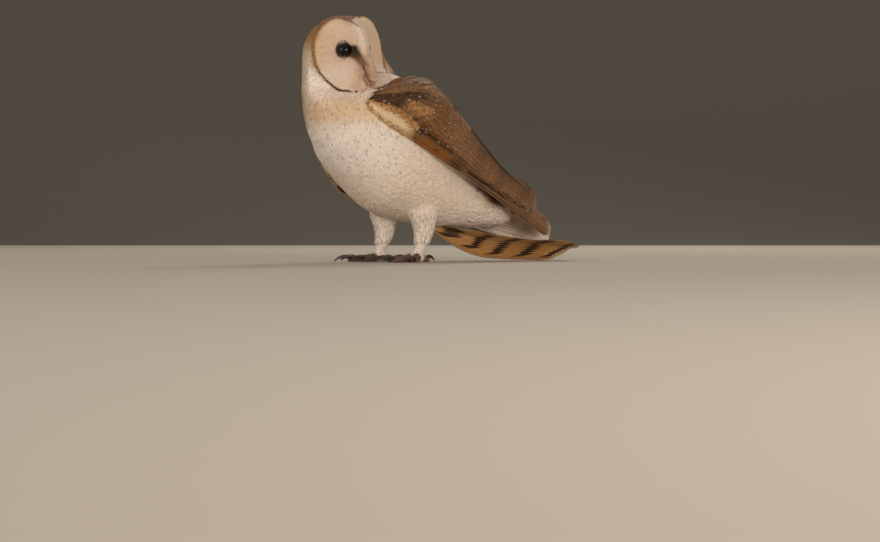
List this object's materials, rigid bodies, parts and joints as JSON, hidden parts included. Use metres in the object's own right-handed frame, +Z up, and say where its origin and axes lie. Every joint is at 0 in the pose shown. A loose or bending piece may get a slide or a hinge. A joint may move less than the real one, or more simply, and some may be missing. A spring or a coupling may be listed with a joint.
{
  "type": "barn owl",
  "caption": "Life-size barn owl standing on both feet with folded wings, low tail and its heart-shaped face turned over the left shoulder.",
  "frame": {"origin": "on the floor, under the middle of the owl's box, in millimetres in the source and metres in the row", "axes": "the owl's body faces -Y, its tail lies towards +Y, its left side is +X and +Z is up; the face is turned towards +X"},
  "size_m": [0.136, 0.3142, 0.2443],
  "materials": {
    "body_feathers": "soft creamy feathers with small dark spots, tan on the crown and nape",
    "wing_feathers": "golden-brown feathers with grey-brown vermiculation and dark bars",
    "tail_feathers": "golden-buff feathers with dark cross bars and pale tips",
    "toe_skin": "dull brown scaly skin with sparse bristles",
    "claw_horn": "dark smooth horn",
    "bill_horn": "pale pinkish horn",
    "eye": "wet glossy brown-black"
  },
  "bodies": {
    "root": {"head": "body_feathers", "neck": "body_feathers", "trunk": "body_feathers", "eye_left": "eye", "eye_right": "eye", "bill_upper": "bill_horn", "bill_lower": "bill_horn", "wing_left": "wing_feathers", "wing_right": "wing_feathers", "primaries_left": "wing_feathers", "primaries_right": "wing_feathers", "tail": "tail_feathers", "leg_left": "body_feathers", "toe_left_middle": "toe_skin", "toe_left_inner": "toe_skin", "toe_left_outer": "toe_skin", "toe_left_hind": "toe_skin", "claw_left_middle": "claw_horn", "claw_left_inner": "claw_horn", "claw_left_outer": "claw_horn", "claw_left_hind": "claw_horn", "leg_right": "body_feathers", "toe_right_middle": "toe_skin", "toe_right_inner": "toe_skin", "toe_right_outer": "toe_skin", "toe_right_hind": "toe_skin", "claw_right_middle": "claw_horn", "claw_right_inner": "claw_horn", "claw_right_outer": "claw_horn", "claw_right_hind": "claw_horn"}
  },
  "joints": []
}
